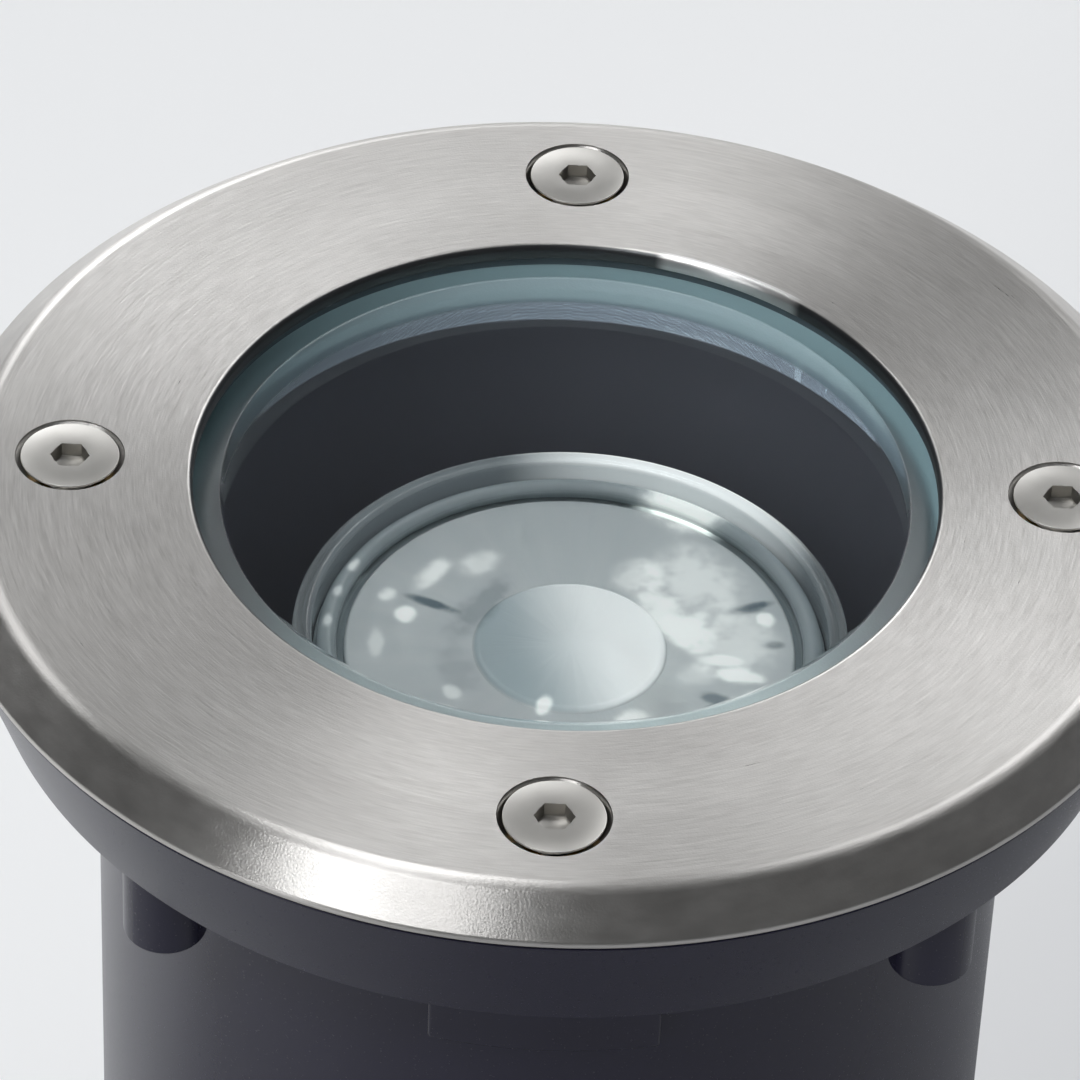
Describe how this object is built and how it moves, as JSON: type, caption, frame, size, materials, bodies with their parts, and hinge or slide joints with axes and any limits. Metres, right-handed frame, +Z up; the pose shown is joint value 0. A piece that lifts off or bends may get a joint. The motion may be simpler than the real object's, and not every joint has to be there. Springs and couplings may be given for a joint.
{
  "type": "in ground well light",
  "caption": "Round in ground well light: a steel trim ring clamps thick glass over a twist-lock reflector lamp in a moulded can with a cable gland under its floor.",
  "frame": {"origin": "centre of the can's standing rim, on the surface it stands on", "axes": "+Z up along the can's axis through the window; -Y towards the camera; cover screws lie on X and Y"},
  "size_m": [0.11, 0.11, 0.145],
  "materials": {
    "housing_plastic": "satin moulded, anthracite",
    "trim_steel": "brushed in circles",
    "screw_steel": "plain turned",
    "cover_glass": "clear, faint green at the edge",
    "gasket_rubber": "soft matt",
    "seal_silicone": "milky, soft",
    "brass": "plain",
    "lamp_glass": "clear moulded",
    "board": "pale circuit board",
    "lamp_aluminium": "plain turned",
    "cap_plastic": "pale, slightly glossy",
    "holder_ceramic": "white unglazed",
    "bracket_steel": "zinc plated strip",
    "block_plastic": "natural moulded",
    "live_rubber": "brown silicone",
    "neutral_rubber": "blue silicone",
    "gland_plastic": "black moulded"
  },
  "bodies": {
    "can": {"housing": "housing_plastic", "screw_inserts": "brass", "lampholder": "holder_ceramic", "holder_contacts": "brass", "holder_bracket": "bracket_steel", "holder_screws": "screw_steel", "bracket_screws": "screw_steel", "terminal_block": "block_plastic", "clamp_tubes": "brass", "clamp_screws": "screw_steel", "block_screw": "screw_steel", "live_lead": "live_rubber", "neutral_lead": "neutral_rubber", "gland_body": "gland_plastic", "gland_washer": "gasket_rubber", "gland_locknut": "gland_plastic", "gland_seal": "gasket_rubber"},
    "cover": {"trim_ring": "trim_steel", "glass_disc": "cover_glass", "glass_gasket": "seal_silicone"},
    "screw_front": {"cover_screw_front": "screw_steel"},
    "screw_right": {"cover_screw_right": "screw_steel"},
    "screw_back": {"cover_screw_back": "screw_steel"},
    "screw_left": {"cover_screw_left": "screw_steel"},
    "lamp": {"lamp_bowl": "lamp_glass", "lamp_lens": "lamp_glass", "lamp_led_board": "board", "lamp_heatsink": "lamp_aluminium", "lamp_cap": "cap_plastic", "lamp_pins": "screw_steel"},
    "dome_nut": {"gland_nut": "gland_plastic"}
  },
  "joints": [
    {"name": "cover_lift", "type": "slide", "parent": "can", "child": "cover", "axis": [0, 0, 1], "range_m": [0, 0.07]},
    {"name": "screw_front_turn", "type": "hinge", "parent": "cover", "child": "screw_front", "pos_m": [0, -0.04325, 0.145], "axis": [0, 0, 1], "continuous": true},
    {"name": "screw_right_turn", "type": "hinge", "parent": "cover", "child": "screw_right", "pos_m": [0.04325, 0, 0.145], "axis": [0, 0, 1], "continuous": true},
    {"name": "screw_back_turn", "type": "hinge", "parent": "cover", "child": "screw_back", "pos_m": [0, 0.04325, 0.145], "axis": [0, 0, 1], "continuous": true},
    {"name": "screw_left_turn", "type": "hinge", "parent": "cover", "child": "screw_left", "pos_m": [-0.04325, 0, 0.145], "axis": [0, 0, 1], "continuous": true},
    {"name": "lamp_twist", "type": "hinge", "parent": "can", "child": "lamp", "pos_m": [0.001, 0, 0.0725], "axis": [0, 0, 1], "range_deg": [0, 25]},
    {"name": "gland_nut_turn", "type": "hinge", "parent": "can", "child": "dome_nut", "pos_m": [0, 0, 0.0182], "axis": [0, 0, 1], "continuous": true}
  ]
}
